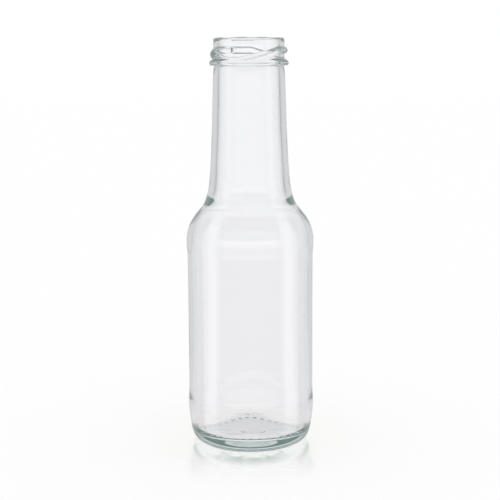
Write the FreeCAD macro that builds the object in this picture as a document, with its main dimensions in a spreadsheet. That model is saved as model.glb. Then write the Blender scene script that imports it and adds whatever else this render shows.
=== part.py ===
# Sauce bottle in clear flint glass, empty and uncapped, in one piece.
# The blow mould gives the outside: a domed push-up under the foot, a rounded heel, a label panel set back
# between two contact bands, a round shoulder and a slim neck that narrows towards the mouth.
# The neck ring gives the twist-off finish: a bead, slanting lugs that pull a cap down, and a rounded lip.
# Millimetres, +Z up. The origin is the middle of the foot, on the surface that the bottle stands on.
import FreeCAD, Part
import math
import os
import Sketcher

document = FreeCAD.newDocument("SauceBottle")


# ---------------------------------------------------------------- driving dimensions
# Heights are above the foot, and drops are below the top of the lip.
size = document.addObject("Spreadsheet::Sheet", "Size")
driving_dimensions = [
    ("overall_height", 197.5, "foot to top of lip"),
    ("contact_diameter", 62.2, "widest rings, where bottles touch on the line"),
    ("panel_diameter", 61.3, "label panel, set back between the contact bands"),
    ("foot_diameter", 57.4, "where the heel curve would reach the table"),
    ("heel_radius", 5.6, "rounding from heel to foot"),
    ("heel_band_foot", 19.0, "lower edge of the lower contact band"),
    ("heel_band_top", 20.8, "upper edge of the lower contact band"),
    ("panel_foot", 22.4, "lower edge of the label panel"),
    ("panel_head", 95.4, "upper edge of the label panel"),
    ("shoulder_band_foot", 97.2, "lower edge of the upper contact band"),
    ("shoulder_band_top", 99.4, "upper edge of the upper contact band"),
    ("shoulder_radius", 23.0, "round of the shoulder"),
    ("neck_root_radius", 20.0, "hollow curve from shoulder to neck"),
    ("neck_root_diameter", 40.9, "neck if it ran on down into the shoulder"),
    ("neck_root_height", 114.0, "height of that place"),
    ("neck_top_diameter", 34.4, "neck just under the bead"),
    ("neck_waist_radius", 1200.0, "slight hollow of the neck along its length"),
    ("lip_diameter", 34.0, "finish above the lugs"),
    ("lip_radius", 1.2, "rounding of the lip"),
    ("mouth_diameter", 28.6, "through the lip"),
    ("bead_diameter", 37.7, "transfer bead under the lugs"),
    ("bead_drop", 11.6, "top of lip to middle of bead"),
    ("bead_radius", 1.6, "round of the bead"),
    ("lug_count", 3, "starts of the twist-off thread"),
    ("lug_diameter", 37.1, "over the lugs"),
    ("lug_thickness", 3.2, "height of a lug's section"),
    ("lug_drop", 6.0, "top of lip to middle of a lug's level run"),
    ("lug_fall", 5.2, "drop of a lug from its level run to its low end in the bead"),
    ("lug_level_sweep", 35.0, "degrees round the mouth of the level run, without its nose"),
    ("lug_ramp_sweep", 69.0, "degrees round the mouth of the ramp down to the bead"),
    ("lug_bearing", -35.0, "degrees from +X to the start of a level run"),
    ("inner_neck_root_radius", 12.0, "rounding inside, between shoulder and neck"),
    ("wall", 2.5, "glass in the body"),
    ("neck_wall", 2.7, "glass in the neck"),
    ("push_up", 3.0, "dome under the foot"),
    ("push_up_diameter", 43.0, "inner edge of the ring that touches the table"),
    ("floor_thickness", 4.2, "glass over the middle of the dome"),
    ("floor_fall", 1.6, "how much lower the inside floor is at its edge"),
    ("inner_heel_radius", 8.0, "rounding between the inside floor and the wall"),
]
for row, (alias, number, meaning) in enumerate(driving_dimensions, start=1):
    size.set(f"A{row}", meaning)
    size.set(f"B{row}", str(number))
    size.setAlias(f"B{row}", alias)
document.recompute()

# Places that several outlines share, as expressions on the sheet.
CONTACT = "Size.contact_diameter / 2"
PANEL = "Size.panel_diameter / 2"
FOOT = "Size.foot_diameter / 2"
LIP = "Size.lip_diameter / 2"
NECK_TOP = "Size.neck_top_diameter / 2"
NECK_ROOT = "Size.neck_root_diameter / 2"
SHOULDER_CROWN = "Size.contact_diameter / 2 - Size.shoulder_radius"
BEAD_HEIGHT = "Size.overall_height - Size.bead_drop"
BEAD_CENTRE = "Size.bead_diameter / 2 - Size.bead_radius"


# ---------------------------------------------------------------- helpers for sketches
def new_sketch(body, name, bearing="0"):
    """A sketch on the body's own XZ plane: across is the distance from the axis, up is the height.

    A bearing, in degrees from +X, swings it round the axis.
    """
    sketch = body.newObject("Sketcher::SketchObject", name)
    plane = next(part for part in body.Origin.OriginFeatures if part.Role == "XZ_Plane")
    sketch.AttachmentSupport = (plane, "")
    sketch.MapMode = "FlatFace"
    upright = FreeCAD.Vector(0, 1, 0)
    swing = FreeCAD.Rotation(upright, float(sketch.evalExpression(bearing)))
    sketch.AttachmentOffset = FreeCAD.Placement(FreeCAD.Vector(0, 0, 0), swing)
    if bearing != "0":
        sketch.setExpression("AttachmentOffset.Rotation.Angle", f"({bearing}) * 1 deg")
    return sketch


def arc_between(start, end, radius, bulge):
    """The short arc from start to end. bulge is 1 where it bows to the right of the way along, -1 to the left."""
    chord = end - start
    middle = (start + end) / 2
    right = FreeCAD.Vector(chord.y, -chord.x, 0).normalize()
    sagitta = radius - math.sqrt(radius**2 - (chord.Length / 2) ** 2)
    return Part.Arc(start, middle + right * sagitta * bulge, end)


def draw_outline(sketch, corners):
    """A closed outline of lines and arcs. A corner is (across, up), with (radius, bulge) too before an arc."""
    spots = []
    for across, up, *_ in corners:
        spots.append(FreeCAD.Vector(float(sketch.evalExpression(across)), float(sketch.evalExpression(up)), 0))
    ends = []
    for index, corner in enumerate(corners):
        start = spots[index]
        end = spots[(index + 1) % len(corners)]
        if len(corner) == 2:
            sketch.addGeometry(Part.LineSegment(start, end), False)
            ends.append((1, 2))
        else:
            radius = float(sketch.evalExpression(corner[2]))
            sketch.addGeometry(arc_between(start, end, radius, corner[3]), False)
            ends.append((1, 2) if corner[3] > 0 else (2, 1))
    for index, corner in enumerate(corners):
        following = (index + 1) % len(corners)
        start = ends[index][0]
        sketch.addConstraint(
            Sketcher.Constraint("Coincident", index, ends[index][1], following, ends[following][0])
        )
        for kind, axis, expression in (("DistanceX", -2, corner[0]), ("DistanceY", -1, corner[1])):
            if expression == "0":
                sketch.addConstraint(Sketcher.Constraint("PointOnObject", index, start, axis))
            else:
                value = spots[index].x if kind == "DistanceX" else spots[index].y
                made = sketch.addConstraint(Sketcher.Constraint(kind, -1, 1, index, start, value))
                sketch.setExpression(f"Constraints[{made}]", expression)
        if len(corner) > 2:
            made = sketch.addConstraint(
                Sketcher.Constraint("Radius", index, float(sketch.evalExpression(corner[2])))
            )
            sketch.setExpression(f"Constraints[{made}]", corner[2])
    document.recompute()


def turn(body, kind, name, sketch, axis="V_Axis", angle="360"):
    """Turns a sketch round the body's axis, or round another line of the sketch, as a Revolution or a Groove."""
    feature = body.newObject(f"PartDesign::{kind}", name)
    feature.Profile = sketch
    feature.ReferenceAxis = (sketch, [axis])
    feature.setExpression("Angle", angle)
    sketch.Visibility = False
    document.recompute()
    return feature


def round_ring(body, name, base, across, up, radius):
    """Fillets the round edge of base that lies nearest to a distance from the axis and a height."""
    spot = FreeCAD.Vector(float(base.evalExpression(across)), float(base.evalExpression(up)), 0)
    distances = {}
    for number, edge in enumerate(base.Shape.Edges, start=1):
        if edge.isClosed() and not edge.Degenerated:
            start = edge.Vertexes[0].Point
            place = FreeCAD.Vector(math.hypot(start.x, start.y), start.z, 0)
            distances[f"Edge{number}"] = place.distanceToPoint(spot)
    nearest = min(distances, key=distances.get)
    fillet = body.newObject("PartDesign::Fillet", name)
    fillet.Base = (base, [nearest])
    fillet.setExpression("Radius", radius)
    document.recompute()
    return fillet


# ---------------------------------------------------------------- the bottle, one piece of glass
bottle = document.addObject("PartDesign::Body", "Bottle")
bottle.Label = "bottle"

# Body: foot, heel, contact bands, label panel and shoulder. The heel and the shoulder start upright.
body_outline = new_sketch(bottle, "BodyOutline")
HEEL_CURVE = f"(Size.heel_band_foot ^ 2 + ({CONTACT} - {FOOT}) ^ 2) / (2 * ({CONTACT} - {FOOT}))"
PUSH_UP_CURVE = "((Size.push_up_diameter / 2) ^ 2 + Size.push_up ^ 2) / (2 * Size.push_up)"
draw_outline(
    body_outline,
    [
        ("0", "Size.push_up", PUSH_UP_CURVE, -1),
        ("Size.push_up_diameter / 2", "0"),
        (FOOT, "0", HEEL_CURVE, 1),
        (CONTACT, "Size.heel_band_foot"),
        (CONTACT, "Size.heel_band_top"),
        (PANEL, "Size.panel_foot"),
        (PANEL, "Size.panel_head"),
        (CONTACT, "Size.shoulder_band_foot"),
        (CONTACT, "Size.shoulder_band_top", "Size.shoulder_radius", 1),
        (SHOULDER_CROWN, "Size.shoulder_band_top + Size.shoulder_radius"),
        ("0", "Size.shoulder_band_top + Size.shoulder_radius"),
    ],
)
body_solid = turn(bottle, "Revolution", "BodySolid", body_outline)
heel = round_ring(bottle, "Heel", body_solid, FOOT, "0", "Size.heel_radius")

# Neck: starts inside the shoulder, and narrows in a slight hollow curve up to the bead and the lip.
neck_outline = new_sketch(bottle, "NeckOutline")
draw_outline(
    neck_outline,
    [
        ("0", "Size.shoulder_band_top"),
        (NECK_ROOT, "Size.shoulder_band_top"),
        (NECK_ROOT, "Size.neck_root_height", "Size.neck_waist_radius", -1),
        (NECK_TOP, f"{BEAD_HEIGHT} - Size.bead_radius"),
        (BEAD_CENTRE, f"{BEAD_HEIGHT} - Size.bead_radius", "Size.bead_radius", 1),
        (BEAD_CENTRE, f"{BEAD_HEIGHT} + Size.bead_radius"),
        (LIP, f"{BEAD_HEIGHT} + Size.bead_radius"),
        (LIP, "Size.overall_height"),
        ("0", "Size.overall_height"),
    ],
)
neck_solid = turn(bottle, "Revolution", "NeckSolid", neck_outline)
neck_root = round_ring(
    bottle, "NeckRoot", neck_solid, NECK_ROOT, "Size.neck_root_height", "Size.neck_root_radius"
)
lip = round_ring(bottle, "Lip", neck_root, LIP, "Size.overall_height", "Size.lip_radius")

# Lugs: one section, square to the finish, is turned along the level run and wound down a right-hand helix
# into the bead. A nose turned about the section's own level line rounds the far end of the run.
LUG_HEIGHT = "Size.overall_height - Size.lug_drop"
LUG_ROOT = f"{LIP} - Size.lip_radius"
LUG_CENTRE = "(Size.lug_diameter - Size.lug_thickness) / 2"
LUG_ROUND = "Size.lug_thickness / 2"
lug_section = new_sketch(bottle, "LugSection", "Size.lug_bearing")
draw_outline(
    lug_section,
    [
        (LUG_ROOT, f"{LUG_HEIGHT} - {LUG_ROUND}"),
        (LUG_CENTRE, f"{LUG_HEIGHT} - {LUG_ROUND}", LUG_ROUND, 1),
        (LUG_CENTRE, f"{LUG_HEIGHT} + {LUG_ROUND}"),
        (LUG_ROOT, f"{LUG_HEIGHT} + {LUG_ROUND}"),
    ],
)
level_run = turn(bottle, "Revolution", "LugLevelRun", lug_section, angle="Size.lug_level_sweep")
nose_outline = new_sketch(bottle, "LugNoseOutline", "Size.lug_bearing + Size.lug_level_sweep")
draw_outline(
    nose_outline,
    [
        (LUG_ROOT, LUG_HEIGHT),
        ("Size.lug_diameter / 2", LUG_HEIGHT, LUG_ROUND, 1),
        (LUG_CENTRE, f"{LUG_HEIGHT} + {LUG_ROUND}"),
        (LUG_ROOT, f"{LUG_HEIGHT} + {LUG_ROUND}"),
    ],
)
nose = turn(bottle, "Revolution", "LugNose", nose_outline, axis="Edge1")
ramp = bottle.newObject("PartDesign::AdditiveHelix", "LugRamp")
ramp.Profile = lug_section
ramp.ReferenceAxis = (lug_section, ["V_Axis"])
ramp.Mode = "height-turns-angle"
ramp.Reversed = True
ramp.setExpression("Height", "Size.lug_fall")
ramp.setExpression("Turns", "Size.lug_ramp_sweep / 360")
document.recompute()
lugs = bottle.newObject("PartDesign::PolarPattern", "Lugs")
lugs.Originals = [level_run, nose, ramp]
lugs.Axis = (lug_section, ["V_Axis"])
lugs.Angle = 360
lugs.setExpression("Occurrences", "Size.lug_count")
bottle.Tip = lugs
document.recompute()

# Inside of the body: floor over the push-up, inner heel, wall and shoulder.
body_cavity_outline = new_sketch(bottle, "BodyCavityOutline")
INNER_WALL = f"{CONTACT} - Size.wall"
FLOOR = "Size.push_up + Size.floor_thickness"
FLOOR_CURVE = f"(({INNER_WALL}) ^ 2 + Size.floor_fall ^ 2) / (2 * Size.floor_fall)"
INNER_SHOULDER = "Size.shoulder_radius - Size.wall"
draw_outline(
    body_cavity_outline,
    [
        ("0", FLOOR, FLOOR_CURVE, -1),
        (INNER_WALL, f"{FLOOR} - Size.floor_fall"),
        (INNER_WALL, "Size.shoulder_band_top", INNER_SHOULDER, 1),
        (SHOULDER_CROWN, f"Size.shoulder_band_top + {INNER_SHOULDER}"),
        ("0", f"Size.shoulder_band_top + {INNER_SHOULDER}"),
    ],
)
body_cavity = turn(bottle, "Groove", "BodyCavity", body_cavity_outline)
inner_heel = round_ring(
    bottle, "InnerHeel", body_cavity, INNER_WALL, f"{FLOOR} - Size.floor_fall", "Size.inner_heel_radius"
)

# Inside of the neck, from the shoulder out through the mouth.
neck_bore_outline = new_sketch(bottle, "NeckBoreOutline")
BORE_ROOT = f"{NECK_ROOT} - Size.neck_wall"
MOUTH = "Size.mouth_diameter / 2"
draw_outline(
    neck_bore_outline,
    [
        ("0", "Size.shoulder_band_top"),
        (BORE_ROOT, "Size.shoulder_band_top"),
        (BORE_ROOT, "Size.neck_root_height", "Size.neck_waist_radius", -1),
        (MOUTH, f"{BEAD_HEIGHT} - Size.bead_radius"),
        (MOUTH, "Size.overall_height"),
        ("0", "Size.overall_height"),
    ],
)
neck_bore = turn(bottle, "Groove", "NeckBore", neck_bore_outline)
inner_neck_root = round_ring(
    bottle, "InnerNeckRoot", neck_bore, BORE_ROOT, "Size.neck_root_height", "Size.inner_neck_root_radius"
)
inner_lip = round_ring(bottle, "InnerLip", inner_neck_root, MOUTH, "Size.overall_height", "Size.lip_radius")

# ---------------------------------------------------------------- check, then write the node
for item in document.Objects:
    if "Invalid" in item.State or "Error" in item.State:
        raise RuntimeError(f"{item.Label} did not build: {item.State}")
os.makedirs("parts", exist_ok=True)
for node in (bottle,):
    if node.Shape.isNull() or not node.Shape.isValid() or len(node.Shape.Solids) != 1:
        raise RuntimeError(f"{node.Label} is not one valid solid")
    node.Shape.exportStep(f"parts/{node.Label}.step")
    print(node.Label, "glass", round(node.Shape.Volume / 1000, 1), "cubic centimetres")
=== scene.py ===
import math

import bpy
from mathutils import Euler, Matrix, Vector


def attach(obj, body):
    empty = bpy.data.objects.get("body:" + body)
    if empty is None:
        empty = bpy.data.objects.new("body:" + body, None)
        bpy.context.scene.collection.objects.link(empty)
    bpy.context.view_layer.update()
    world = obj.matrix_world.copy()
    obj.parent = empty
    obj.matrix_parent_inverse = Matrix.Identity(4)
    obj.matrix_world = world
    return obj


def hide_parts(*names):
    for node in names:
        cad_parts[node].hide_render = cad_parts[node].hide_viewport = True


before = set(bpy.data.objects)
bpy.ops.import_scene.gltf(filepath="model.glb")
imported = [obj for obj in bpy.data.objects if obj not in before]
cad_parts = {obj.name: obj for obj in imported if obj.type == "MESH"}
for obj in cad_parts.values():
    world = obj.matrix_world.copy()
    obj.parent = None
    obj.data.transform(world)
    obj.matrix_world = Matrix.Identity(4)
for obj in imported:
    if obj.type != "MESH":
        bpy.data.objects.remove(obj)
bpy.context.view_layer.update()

MM = 0.001


# ---- Camera -----------------------------------------------------------------------------------
# A short telephoto view from the front. The lens is level with the bead under the mouth and looks
# down on the foot, so the mouth shows edge on and the foot shows as an oval.
camera_distance = 540 * MM
camera_height = 184.7 * MM
camera_pitch = 8.8
camera_roll = 0.35
camera_data = bpy.data.cameras.new("camera")
camera_data.lens = 80.3
camera_data.sensor_width = 36
camera_data.shift_y = -0.025
camera = bpy.data.objects.new("camera", camera_data)
bpy.context.scene.collection.objects.link(camera)
look = Euler((math.radians(90 - camera_pitch), 0, 0)).to_matrix()
camera.rotation_euler = (look @ Matrix.Rotation(math.radians(-camera_roll), 3, "Z")).to_euler()
camera.location = (0, -camera_distance, camera_height)
bpy.context.scene.camera = camera
bpy.context.scene.view_settings.view_transform = "Standard"


# ---- Bottle: the turned form ------------------------------------------------------------------
# Clear flint glass, blown in a split mould, so its outside is round about its axis. The outline
# runs from the middle of the foot up the outside, over the lip and down the inside. The foot is
# flatter beneath and lower inside than the solid's, for the way that light bends in it.
foot_outline = [
    (0.0, 0.90), (8.0, 0.90), (15.0, 0.85), (19.0, 0.70), (21.5, 0.48), (23.2, 0.34), (24.8, 0.34),
    (26.8, 1.0), (28.5, 2.7), (29.4, 5.0), (30.0, 8.0),
]
body_outline = [
    (30.58, 12.5), (30.96, 16.0), (31.08, 18.6), (31.03, 20.6), (30.88, 22.4), (30.73, 24.2), (30.66, 26.5),
    (30.64, 32.0), (30.60, 58.0), (30.64, 86.0), (30.65, 92.6), (30.68, 94.6), (30.86, 95.9), (31.04, 97.2),
    (31.09, 98.8),
]
shoulder_outline = [
    (31.1, 100.2), (30.86, 103.2), (30.05, 106.6), (28.7, 109.6), (26.8, 112.5), (24.7, 115.0),
    (22.95, 117.1), (21.7, 119.5), (20.75, 122.4), (19.95, 126.0),
]
neck_outline = [
    (19.35, 131.0), (18.85, 138.0), (18.35, 147.0), (17.95, 158.0), (17.6, 170.0), (17.3, 179.0),
    (17.1, 182.6), (16.85, 183.4), (16.75, 183.9),
]
bead_outline = [
    (16.85, 184.2), (17.3, 184.35), (18.2, 184.42), (18.85, 184.6), (19.05, 185.3), (19.0, 186.2),
    (18.45, 186.9), (17.6, 187.25), (17.1, 187.6), (16.98, 188.2),
]
finish_outline = [(16.98, 189.5), (16.98, 192.0), (16.98, 194.5), (17.0, 196.0)]
lip_outline = [(16.95, 197.0), (16.3, 197.58), (15.6, 197.57), (14.9, 197.0), (14.55, 196.0), (14.4, 194.5)]
bore_outline = [
    (14.35, 191.0), (14.3, 187.0), (14.4, 182.0), (14.55, 172.0), (14.9, 158.0), (15.35, 146.0),
    (15.9, 138.0), (16.25, 132.0), (16.5, 127.5), (16.85, 124.2), (17.8, 121.2), (19.6, 118.6),
    (21.6, 115.9), (23.3, 113.4), (24.9, 110.9), (26.7, 107.4), (27.9, 103.6), (28.3, 99.5),
]
cavity_outline = [
    (28.35, 94.0), (28.4, 70.0), (28.45, 50.0), (28.7, 36.0), (29.05, 24.0), (29.25, 16.0), (29.2, 11.5),
    (28.8, 7.6), (27.4, 5.2), (24.5, 4.5), (20.0, 4.5), (15.0, 4.5), (8.0, 4.5), (0.0, 4.5),
]
outline = (
    foot_outline + body_outline + shoulder_outline + neck_outline + bead_outline + finish_outline
    + lip_outline + bore_outline + cavity_outline
)
around = 264


def row_spacing(radius, height):
    """How far apart the rows of the mesh lie, in millimetres: closest where the moulded detail is."""
    if height > 184:
        return 0.24 if radius > 16.5 and height < 195 else 0.5
    if height < 0.6:
        return 0.42
    if height < 10:
        return 0.7
    if radius > 30.5 and (20 < height < 24 or 94 < height < 98):
        return 0.5
    if 98 < height < 130:
        return 1.2
    return 3.0


def smooth_outline(points):
    """A smooth curve that follows the points as a cubic B-spline, starting and ending on the axis."""
    first = (-points[1][0], points[1][1])
    last = (-points[-2][0], points[-2][1])
    padded = [Vector(point) for point in (first, *points, last)]
    curve = []
    for before, start, end, after in zip(padded, padded[1:], padded[2:], padded[3:]):
        spacing = row_spacing((start.x + end.x) / 2, (start.y + end.y) / 2)
        steps = max(1, round((end - start).length / spacing))
        for step in range(steps):
            t = step / steps
            weights = ((1 - t) ** 3, 3 * t**3 - 6 * t**2 + 4, -3 * t**3 + 3 * t**2 + 3 * t + 1, t**3)
            curve.append(
                (before * weights[0] + start * weights[1] + end * weights[2] + after * weights[3]) / 6
            )
    curve.append((padded[-3] + padded[-2] * 4 + padded[-1]) / 6)
    return curve


curve = smooth_outline(outline)
bpy.ops.object.select_all(action="DESELECT")
bpy.ops.mesh.primitive_plane_add(size=MM, location=(0, 0, 0))
bottle = bpy.context.active_object
bottle.name = "bottle_glass"
bpy.ops.object.mode_set(mode="EDIT")
bpy.ops.mesh.merge(type="CENTER")
bpy.ops.transform.translate(value=(0, 0, curve[0].y * MM))
for start, end in zip(curve, curve[1:]):
    step = end - start
    bpy.ops.mesh.extrude_region_move(TRANSFORM_OT_translate={"value": (step.x * MM, 0, step.y * MM)})
bpy.ops.mesh.select_all(action="SELECT")
bpy.ops.mesh.spin(steps=around, angle=math.tau, center=(0, 0, 0), axis=(0, 0, 1))
bpy.ops.mesh.select_all(action="SELECT")
bpy.ops.mesh.remove_doubles(threshold=0.004 * MM)
bpy.ops.mesh.normals_make_consistent(inside=False)
bpy.ops.object.mode_set(mode="OBJECT")
bpy.ops.object.shade_smooth()


# ---- Bottle: twist-off lugs, foot marks and the drift of the blown wall ------------------------
# The neck ring presses three lugs round the mouth, each a level run that ramps down to the bead.
# The foot carries a ring of bearing dots and a few plain mould marks. Blowing leaves the inside
# wall slightly uneven and the inside floor aslant.
lug_count = 3
lug_height = 191.5
lug_fall = 5.2
lug_level_sweep = 35.0
lug_ramp_sweep = 69.0
lug_bearing = -35.0
lug_centre = 16.95
lug_round = 1.6
lug_blend = 0.22
finish_radius = 17.0
finish_inner = 16.6
finish_foot = 186.5
finish_head = 195.0


def lug_radius(bearing, height):
    """How far out the lugs reach at a bearing and a height, or a little under the finish between them."""
    best = 0.0
    for number in range(lug_count):
        along = (bearing - lug_bearing - number * 360 / lug_count + 180) % 360 - 180
        middle = lug_height + lug_fall * min(0, along) / lug_ramp_sweep
        past_end = max(0, along - lug_level_sweep, -along - lug_ramp_sweep)
        sideways = math.radians(past_end) * finish_radius
        off = math.hypot(height - middle, sideways) / lug_round
        reach = math.sqrt(1 - off**2) if off < 1 else 2 * (1 - off)
        best = max(best, lug_centre + lug_round * reach)
    return best


def smooth_larger(one, other, blend):
    """The larger of two numbers, with the step between them rounded off."""
    mix = max(0, min(1, 0.5 + (one - other) / (2 * blend)))
    return other * (1 - mix) + one * mix + blend * mix * (1 - mix)


dot_count = 38
dot_ring = 24.0
dot_width = 0.9
dot_relief = 0.33
mark_relief = 0.60
mark_line = 0.55
mark_rings = [(1.0, -3.0, 5.2, 3.6)]
mark_bars = [
    (-8.5, -11.0, 4.0), (-8.5, -8.6, 2.4), (9.0, -10.5, 4.5), (14.5, 1.0, 4.5), (14.5, 3.2, 2.8),
    (-14.5, 3.0, 3.5),
]
underside_top = 1.0
underside_radius = 25.5
floor_slant = 1.8
slant_radius = 27.0
slant_limit = 29.5
slant_bottom = 2.4
slant_top = 26.0
slant_full = 5.6
ripple = 0.03
ripple_inner = 10.0
ripple_bottom = 10.0
ripple_top = 150.0
ripple_fade = 15.0


def foot_relief(x, y):
    """How far the mould marks stand down from the underside of the foot, in millimetres."""
    radius = math.hypot(x, y)
    pitch = math.tau / dot_count
    turn = (math.atan2(y, x) / pitch + 0.5) % 1 - 0.5
    off = math.hypot(radius - dot_ring, turn * pitch * dot_ring) / dot_width
    deep = dot_relief * max(0, 1 - off**2)
    for centre_x, centre_y, half_long, half_wide in mark_rings:
        around_mark = math.hypot((x - centre_x) / half_long, (y - centre_y) / half_wide)
        off = abs(around_mark - 1) * half_wide / mark_line
        deep = max(deep, mark_relief * max(0, 1 - off**2))
    for centre_x, centre_y, half_long in mark_bars:
        past_end = max(0, abs(x - centre_x) - half_long)
        off = math.hypot(past_end, y - centre_y) / mark_line
        deep = max(deep, mark_relief * max(0, 1 - off**2))
    return deep


facings = [vertex.normal.copy() for vertex in bottle.data.vertices]
for vertex, facing in zip(bottle.data.vertices, facings):
    place = vertex.co / MM
    radius = math.hypot(place.x, place.y)
    bearing = math.degrees(math.atan2(place.y, place.x))
    inward = facing.x * place.x + facing.y * place.y < 0 or facing.z > 0.5
    if radius > finish_inner and finish_foot < place.z < finish_head:
        wanted = smooth_larger(lug_radius(bearing, place.z), radius, lug_blend)
        if wanted > radius + 0.001:
            vertex.co.x *= wanted / radius
            vertex.co.y *= wanted / radius
    if place.z < underside_top and radius < underside_radius and facing.z < -0.5:
        vertex.co.z -= min(foot_relief(place.x, place.y), place.z) * MM
    if inward and slant_bottom <= place.z <= slant_top and radius < slant_limit:
        fade = min(1, (slant_top - place.z) / (slant_top - slant_full))
        vertex.co.z -= floor_slant * place.y / slant_radius * fade * MM
    if inward and ripple_bottom < place.z < ripple_top and radius > ripple_inner:
        turn = math.radians(bearing)
        drift = math.sin(3 * turn + place.z / 17) + 0.6 * math.sin(5 * turn - place.z / 9 + 1.3)
        grown = 1 + ripple * drift / radius * min(1, (place.z - ripple_bottom) / ripple_fade)
        vertex.co.x *= grown
        vertex.co.y *= grown

bpy.context.view_layer.update()


class Wire:
    """A shader socket. Operators between wires and numbers add Math nodes, and node adds any other node."""

    def __init__(self, tree, socket):
        self.tree = tree
        self.socket = socket

    @staticmethod
    def node(tree, kind, settings=(), inputs=(), output=0):
        made = tree.nodes.new(kind)
        for name, value in dict(settings).items():
            setattr(made, name, value)
        for name, value in dict(inputs).items():
            if isinstance(value, Wire):
                tree.links.new(value.socket, made.inputs[name])
            else:
                made.inputs[name].default_value = value
        return Wire(tree, made.outputs[output]) if made.outputs else made

    def maths(self, operation, first, second=0.0):
        return Wire.node(self.tree, "ShaderNodeMath", {"operation": operation}, {0: first, 1: second})

    def __add__(self, other):
        return self.maths("ADD", self, other)

    __radd__ = __add__

    def __mul__(self, other):
        return self.maths("MULTIPLY", self, other)

    __rmul__ = __mul__

    def __sub__(self, other):
        return self.maths("SUBTRACT", self, other)

    def __rsub__(self, other):
        return self.maths("SUBTRACT", other, self)


# ---- Glass ------------------------------------------------------------------------------------
# Clear flint glass, fire polished and faintly green where it is thick. A path of light stops after
# four reflections and would end black, so the glass glows a dim green of its own there: painted
# light, an emission standing in for light that would come out, the same all round the bottle.
kept_reflections = 4.0
# Painted light: the dim green the glass glows with once a path has used up its reflections.
painted_glow_green = (0.10, 0.125, 0.115, 1)
black = (0, 0, 0, 1)
white = (1, 1, 1, 1)


def colour_between(tree, share, first, second):
    """The first colour where the share is 0, and the second where it is 1."""
    colours = {0: share, 6: first, 7: second}
    return Wire.node(tree, "ShaderNodeMix", {"data_type": "RGBA"}, colours, output=2)


glass = bpy.data.materials.new("flint_glass")
glass.use_nodes = True
tree = glass.node_tree
tree.nodes.clear()
place = Wire.node(tree, "ShaderNodeTexCoord", output="Object")
haze = Wire.node(tree, "ShaderNodeTexNoise", {}, {"Vector": place, "Scale": 160.0, "Detail": 2.0})
wave = Wire.node(tree, "ShaderNodeTexNoise", {}, {"Vector": place, "Scale": 40.0, "Detail": 1.0})
skin = Wire.node(tree, "ShaderNodeBump", {}, {"Height": wave, "Strength": 1.0, "Distance": 0.00004})
bounces = Wire.node(tree, "ShaderNodeLightPath", output="Glossy Depth")
last_step = {"From Min": kept_reflections - 1, "From Max": kept_reflections}
trapped = Wire.node(tree, "ShaderNodeMapRange", {}, {"Value": bounces, **last_step})
# Painted glow: black for the first reflections, then the dim green emission on the last one.
painted_glow = colour_between(tree, trapped, black, painted_glow_green)
shader = Wire.node(
    tree,
    "ShaderNodeBsdfPrincipled",
    {},
    {
        "Base Color": white,
        "Roughness": haze * 0.006,
        "IOR": 1.52,
        "Transmission Weight": 1.0,
        "Normal": skin,
        "Emission Color": painted_glow,
        "Emission Strength": 1.0,
    },
)
volume = Wire.node(tree, "ShaderNodeVolumeAbsorption", {}, {"Color": (0.50, 0.75, 0.71, 1), "Density": 8.0})
Wire.node(tree, "ShaderNodeOutputMaterial", {}, {"Surface": shader, "Volume": volume})
glass.cycles.emission_sampling = "NONE"
bottle.data.materials.clear()
bottle.data.materials.append(glass)
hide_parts("bottle")
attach(bottle, "root")


# ---- Studio -----------------------------------------------------------------------------------
# The world is white to the camera. Light mirrored in the glass sees two tall softboxes, a low front
# card and a grey back wall, and all light but the camera's own is tinted slightly lavender.
lavender = (0.985, 0.978, 1.0, 1)
world = bpy.data.worlds.new("studio")
bpy.context.scene.world = world
world.use_nodes = True
tree = world.node_tree
tree.nodes.clear()
direction = Wire.node(tree, "ShaderNodeTexCoord", output="Generated")
parts = Wire.node(tree, "ShaderNodeSeparateXYZ", {}, {"Vector": direction})
across = Wire(tree, parts.socket.node.outputs["X"])
depth = Wire(tree, parts.socket.node.outputs["Y"])
up = Wire(tree, parts.socket.node.outputs["Z"])
side_angle = across.maths("ABSOLUTE", across.maths("ARCTAN2", across, depth * -1))
rise = up.maths("ARCSINE", up)


def step_up(value, low, high):
    """0 below low, 1 above high, in degrees, with a soft edge between."""
    return Wire.node(
        tree,
        "ShaderNodeMapRange",
        {"interpolation_type": "SMOOTHSTEP"},
        {"Value": value, "From Min": math.radians(low), "From Max": math.radians(high)},
    )


def window(value, low, high, edge):
    """1 between low and high degrees, 0 outside, with soft edges."""
    half = edge / 2
    opened = step_up(value, low - half, low + half)
    closed = step_up(value, high - half, high + half)
    return opened * (1 - closed)


softboxes = window(side_angle, 67, 98, 1) * window(rise, -55, 40, 4) * 0.7
front_card = window(rise, -3, 13, 4) * (1 - step_up(side_angle, 40, 75))
back_wall = step_up(side_angle, 110, 142) * 0.64
below = 1 - step_up(rise, -42, -30)
studio = 0.18 + (softboxes + front_card + back_wall) * (1 - below) * 0.82 + below * 0.75
seen = Wire.node(tree, "ShaderNodeLightPath", output="Is Camera Ray")
reflected = Wire(tree, seen.socket.node.outputs["Glossy Depth"])
reflections = reflected.maths("MINIMUM", reflected, 1.0)
strength = (1 - reflections) + reflections * studio
tint = colour_between(tree, seen, lavender, white)
background = Wire.node(tree, "ShaderNodeBackground", {}, {"Color": tint, "Strength": strength})
Wire.node(tree, "ShaderNodeOutputWorld", {}, {"Surface": background})


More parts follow.
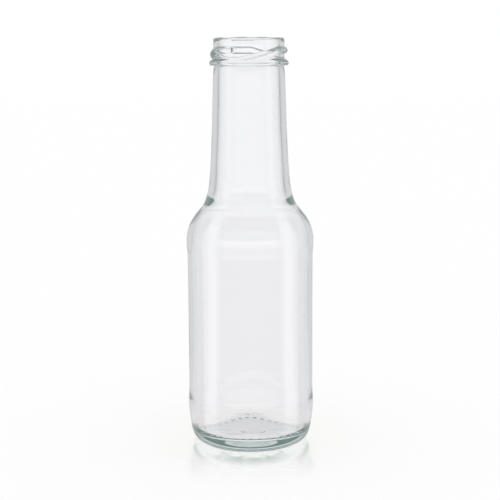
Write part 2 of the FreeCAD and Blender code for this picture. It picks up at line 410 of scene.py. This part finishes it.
# ---- Floor ------------------------------------------------------------------------------------
# A white sheet under the bottle, glossy near it. Light that was mirrored before passes through the
# sheet, and the gloss gives back more than it gets, to make up for the darker mirrored studio.
bpy.ops.object.select_all(action="DESELECT")
floor_size = 6.0
floor_front = 0.11
bpy.ops.mesh.primitive_plane_add(size=floor_size, location=(0, floor_size / 2 - floor_front, 0))
floor = bpy.context.active_object
floor.name = "floor"
floor_finish = bpy.data.materials.new("floor_white")
floor_finish.use_nodes = True
tree = floor_finish.node_tree
tree.nodes.clear()
seen = Wire.node(tree, "ShaderNodeLightPath", output="Is Camera Ray")
paper = colour_between(tree, seen, lavender, white)
bright = Wire.node(tree, "ShaderNodeEmission", {}, {"Color": paper, "Strength": 1.0})
matt = Wire.node(tree, "ShaderNodeBsdfDiffuse", {}, {"Color": white})
gloss = Wire.node(tree, "ShaderNodeBsdfGlossy", {}, {"Color": (1.37, 1.38, 1.32, 1), "Roughness": 0.2})
base = Wire.node(tree, "ShaderNodeMixShader", {}, {0: 0.25, 1: bright, 2: matt})
place = Wire.node(tree, "ShaderNodeNewGeometry", output="Position")
reach = Wire.node(tree, "ShaderNodeVectorMath", {"operation": "LENGTH"}, {0: place}, output="Value")
pool = 1 - Wire.node(
    tree,
    "ShaderNodeMapRange",
    {"interpolation_type": "SMOOTHSTEP"},
    {"Value": reach, "From Min": 0.022, "From Max": 0.070},
)
under = Wire.node(tree, "ShaderNodeMapRange", {}, {"Value": reach, "From Min": 0.024, "From Max": 0.027})
sheet = Wire.node(tree, "ShaderNodeMixShader", {}, {0: pool * under * 0.75, 1: base, 2: gloss})
mirrored = Wire.node(tree, "ShaderNodeLightPath", output="Glossy Depth")
clear = Wire.node(tree, "ShaderNodeBsdfTransparent")
mirrored_once = mirrored.maths("MINIMUM", mirrored, 1.0)
surface = Wire.node(tree, "ShaderNodeMixShader", {}, {0: mirrored_once, 1: sheet, 2: clear})
Wire.node(tree, "ShaderNodeOutputMaterial", {}, {"Surface": surface})
floor.data.materials.append(floor_finish)
